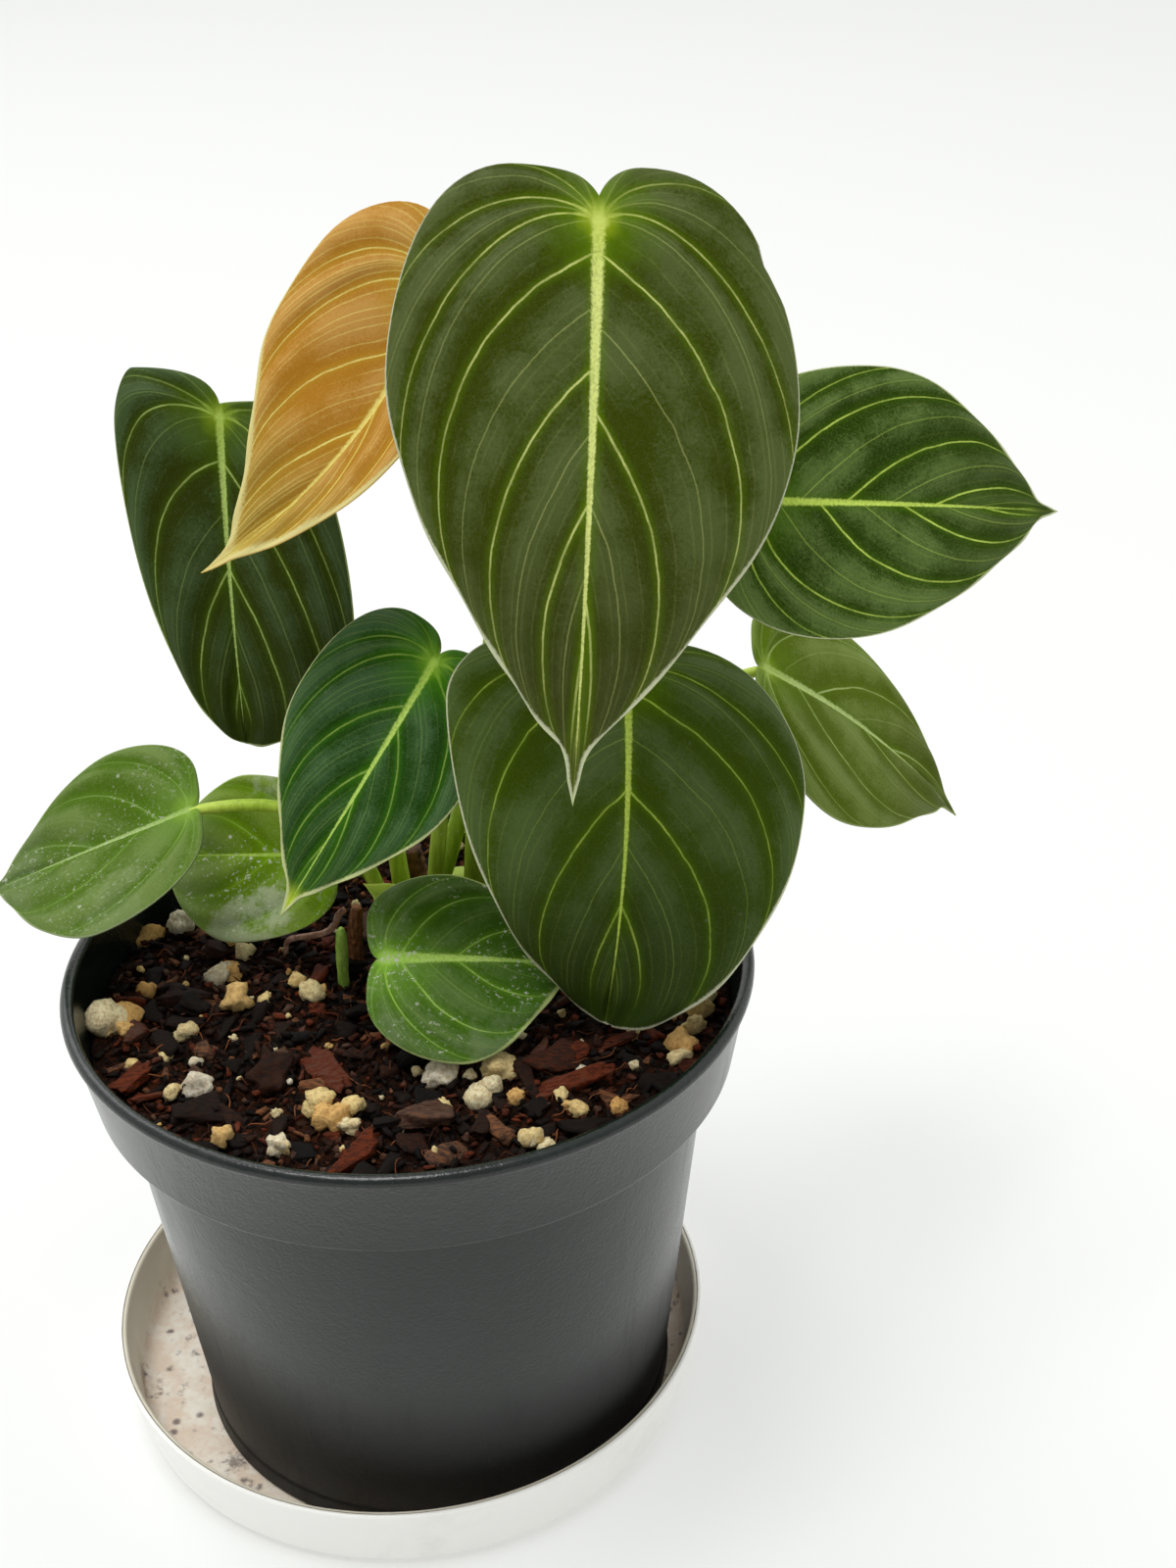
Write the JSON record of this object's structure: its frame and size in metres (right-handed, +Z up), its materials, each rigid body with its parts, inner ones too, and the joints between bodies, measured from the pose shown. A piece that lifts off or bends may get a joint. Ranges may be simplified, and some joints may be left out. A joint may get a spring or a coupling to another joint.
{
  "type": "potted philodendron",
  "caption": "Potted aroid with heart-shaped velvet leaves on long petioles, in a round collared nursery pot standing on a shallow saucer.",
  "frame": {"origin": "centre of the saucer's flat underside", "axes": "+Z up; -Y towards the front, where the large front leaf faces; +X to the right seen from the front"},
  "size_m": [0.2095, 0.13, 0.2478],
  "materials": {
    "saucer": "satin off-white",
    "pot": "matte charcoal",
    "soil": "rough, loose",
    "stem_bark": "fibrous",
    "stem_papery": "papery",
    "shoot": "waxy",
    "aerial_root": "dull",
    "leaf_front": "velvet",
    "petiole": "waxy",
    "leaf_gold": "velvet",
    "leaf_left": "velvet",
    "leaf_mid_left": "velvet",
    "leaf_lower_front": "velvet",
    "leaf_right": "velvet",
    "leaf_lower_right": "velvet",
    "leaf_far_left": "velvet",
    "leaf_low_left": "velvet",
    "leaf_low_centre": "velvet",
    "leaf_back": "velvet",
    "leaf_seedling": "velvet",
    "cataphyll": "waxy"
  },
  "bodies": {
    "root": {"saucer": "saucer", "pot": "pot", "soil": "soil", "old_stem": "stem_bark", "papery_stem": "stem_papery", "shoot": "shoot", "aerial_root": "aerial_root", "leaf_front": "leaf_front", "petiole_front": "petiole", "leaf_gold": "leaf_gold", "petiole_gold": "petiole", "leaf_left": "leaf_left", "petiole_left": "petiole", "leaf_mid_left": "leaf_mid_left", "petiole_mid_left": "petiole", "leaf_lower_front": "leaf_lower_front", "petiole_lower_front": "petiole", "leaf_right": "leaf_right", "petiole_right": "petiole", "leaf_lower_right": "leaf_lower_right", "petiole_lower_right": "petiole", "leaf_far_left": "leaf_far_left", "petiole_far_left": "petiole", "leaf_low_left": "leaf_low_left", "petiole_low_left": "petiole", "leaf_low_centre": "leaf_low_centre", "petiole_low_centre": "petiole", "leaf_back": "leaf_back", "petiole_back": "petiole", "leaf_seedling": "leaf_seedling", "petiole_seedling": "petiole", "cataphyll": "cataphyll", "cataphyll_stalk": "petiole"}
  },
  "joints": []
}
